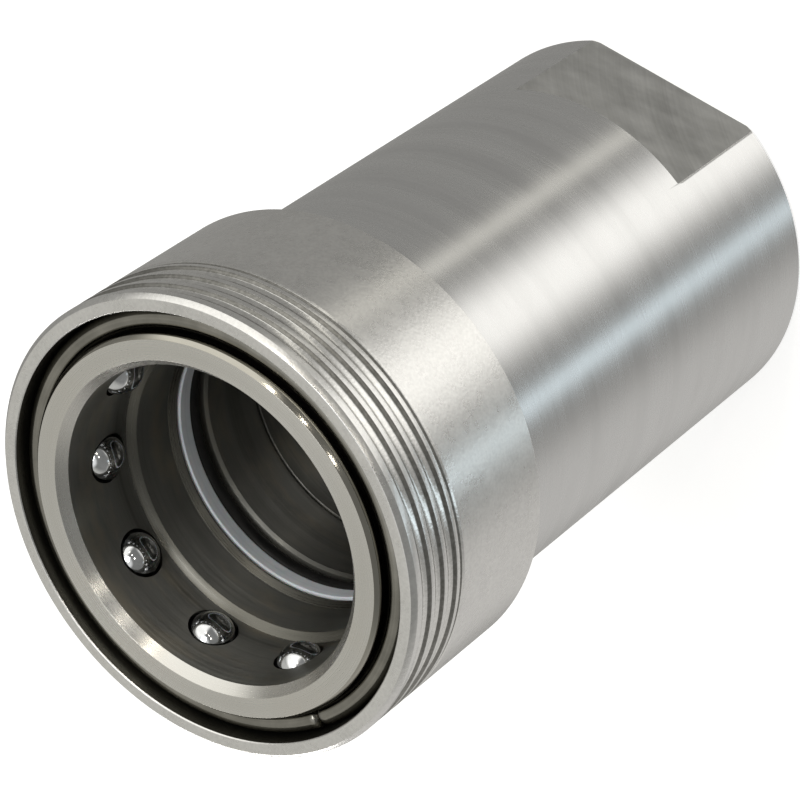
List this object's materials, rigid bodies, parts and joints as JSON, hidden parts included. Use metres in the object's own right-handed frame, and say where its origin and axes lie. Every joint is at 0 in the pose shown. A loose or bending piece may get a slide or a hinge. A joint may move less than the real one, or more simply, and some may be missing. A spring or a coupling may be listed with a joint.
{
  "type": "quick disconnect coupler",
  "caption": "Female half of a ball-lock hydraulic quick disconnect coupler: spring-loaded grooved sleeve, locking balls, seals, poppet valve, wrench flats and threaded rear port.",
  "frame": {"origin": "centre of the rear face, where the pipe thread opens; the part stands on this face", "axes": "+Z along the coupling axis, out of the mouth; +X is the normal of one wrench flat"},
  "size_m": [0.0528, 0.0528, 0.085],
  "materials": {
    "turned_stainless": "satin turned, fine feed marks round the axis",
    "blasted_stainless": "matte bead blasted",
    "ball_steel": "polished",
    "spring_steel": "drawn wire, semi-bright",
    "ptfe": "waxy white",
    "nitrile_rubber": "black, slightly oily"
  },
  "bodies": {
    "coupler_body": {"rear_body": "turned_stainless", "socket_nose": "turned_stainless", "probe_o_ring": "nitrile_rubber", "probe_backup_ring": "ptfe", "body_joint_o_ring": "nitrile_rubber", "sleeve_spring": "spring_steel", "poppet_spring": "spring_steel", "valve_guide": "turned_stainless", "guide_snap_ring": "spring_steel"},
    "snap_ring": {"sleeve_snap_ring": "spring_steel"},
    "sleeve": {"locking_sleeve": "blasted_stainless"},
    "valve_poppet": {"poppet": "turned_stainless", "poppet_seal": "nitrile_rubber"},
    "ball_01": {"locking_ball_01": "ball_steel"},
    "ball_02": {"locking_ball_02": "ball_steel"},
    "ball_03": {"locking_ball_03": "ball_steel"},
    "ball_04": {"locking_ball_04": "ball_steel"},
    "ball_05": {"locking_ball_05": "ball_steel"},
    "ball_06": {"locking_ball_06": "ball_steel"},
    "ball_07": {"locking_ball_07": "ball_steel"},
    "ball_08": {"locking_ball_08": "ball_steel"},
    "ball_09": {"locking_ball_09": "ball_steel"},
    "ball_10": {"locking_ball_10": "ball_steel"}
  },
  "joints": [
    {"name": "sleeve_spin", "type": "hinge", "parent": "coupler_body", "child": "snap_ring", "pos_m": [0, 0, 0.0825], "axis": [0, 0, 1], "continuous": true},
    {"name": "sleeve_slide", "type": "slide", "parent": "snap_ring", "child": "sleeve", "axis": [0, 0, -1], "range_m": [0, 0.0062], "stiffness_N_per_m": 3500, "springref_m": -0.009, "deforming": ["sleeve_spring"]},
    {"name": "poppet_slide", "type": "slide", "parent": "coupler_body", "child": "valve_poppet", "axis": [0, 0, -1], "range_m": [0, 0.007], "stiffness_N_per_m": 1500, "springref_m": -0.006, "deforming": ["poppet_spring"]},
    {"name": "ball_01_out", "type": "slide", "parent": "coupler_body", "child": "ball_01", "axis": [1, 0.007, 0], "range_m": [0, 0.0017]},
    {"name": "ball_02_out", "type": "slide", "parent": "coupler_body", "child": "ball_02", "axis": [0.8049, 0.5934, 0], "range_m": [0, 0.0017]},
    {"name": "ball_03_out", "type": "slide", "parent": "coupler_body", "child": "ball_03", "axis": [0.3024, 0.9532, 0], "range_m": [0, 0.0017]},
    {"name": "ball_04_out", "type": "slide", "parent": "coupler_body", "child": "ball_04", "axis": [-0.3156, 0.9489, 0], "range_m": [0, 0.0017]},
    {"name": "ball_05_out", "type": "slide", "parent": "coupler_body", "child": "ball_05", "axis": [-0.8131, 0.5821, 0], "range_m": [0, 0.0017]},
    {"name": "ball_06_out", "type": "slide", "parent": "coupler_body", "child": "ball_06", "axis": [-1, -0.007, 0], "range_m": [0, 0.0017]},
    {"name": "ball_07_out", "type": "slide", "parent": "coupler_body", "child": "ball_07", "axis": [-0.8049, -0.5934, 0], "range_m": [0, 0.0017]},
    {"name": "ball_08_out", "type": "slide", "parent": "coupler_body", "child": "ball_08", "axis": [-0.3024, -0.9532, 0], "range_m": [0, 0.0017]},
    {"name": "ball_09_out", "type": "slide", "parent": "coupler_body", "child": "ball_09", "axis": [0.3156, -0.9489, 0], "range_m": [0, 0.0017]},
    {"name": "ball_10_out", "type": "slide", "parent": "coupler_body", "child": "ball_10", "axis": [0.8131, -0.5821, 0], "range_m": [0, 0.0017]}
  ],
  "couplings": [
    {"joint": "ball_01_out", "follows": "sleeve_slide", "ratio": 0.26},
    {"joint": "ball_02_out", "follows": "sleeve_slide", "ratio": 0.26},
    {"joint": "ball_03_out", "follows": "sleeve_slide", "ratio": 0.26},
    {"joint": "ball_04_out", "follows": "sleeve_slide", "ratio": 0.26},
    {"joint": "ball_05_out", "follows": "sleeve_slide", "ratio": 0.26},
    {"joint": "ball_06_out", "follows": "sleeve_slide", "ratio": 0.26},
    {"joint": "ball_07_out", "follows": "sleeve_slide", "ratio": 0.26},
    {"joint": "ball_08_out", "follows": "sleeve_slide", "ratio": 0.26},
    {"joint": "ball_09_out", "follows": "sleeve_slide", "ratio": 0.26},
    {"joint": "ball_10_out", "follows": "sleeve_slide", "ratio": 0.26}
  ]
}
